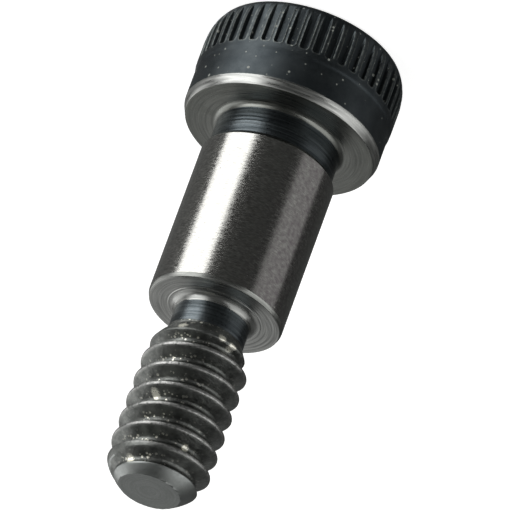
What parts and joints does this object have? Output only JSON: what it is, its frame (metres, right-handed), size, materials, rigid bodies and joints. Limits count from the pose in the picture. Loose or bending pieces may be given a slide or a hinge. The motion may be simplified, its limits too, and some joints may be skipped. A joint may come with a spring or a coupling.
{
  "type": "socket head shoulder bolt",
  "caption": "Shoulder bolt with a knurled cylindrical head, a hexagon socket, a ground shoulder between two relief grooves, and a right-hand threaded end with a chamfered point.",
  "frame": {"origin": "middle of the head's top face, which is the lowest face of the bolt as it stands", "axes": "+Z along the bolt from the head to the point; X and Y only set the turning position of the knurl and the socket"},
  "size_m": [0.0094, 0.0094, 0.0237],
  "materials": {
    "black_oxide_steel": "black oxide over turned, ground and rolled alloy steel"
  },
  "bodies": {
    "root": {"shoulder_bolt": "black_oxide_steel"}
  },
  "joints": []
}
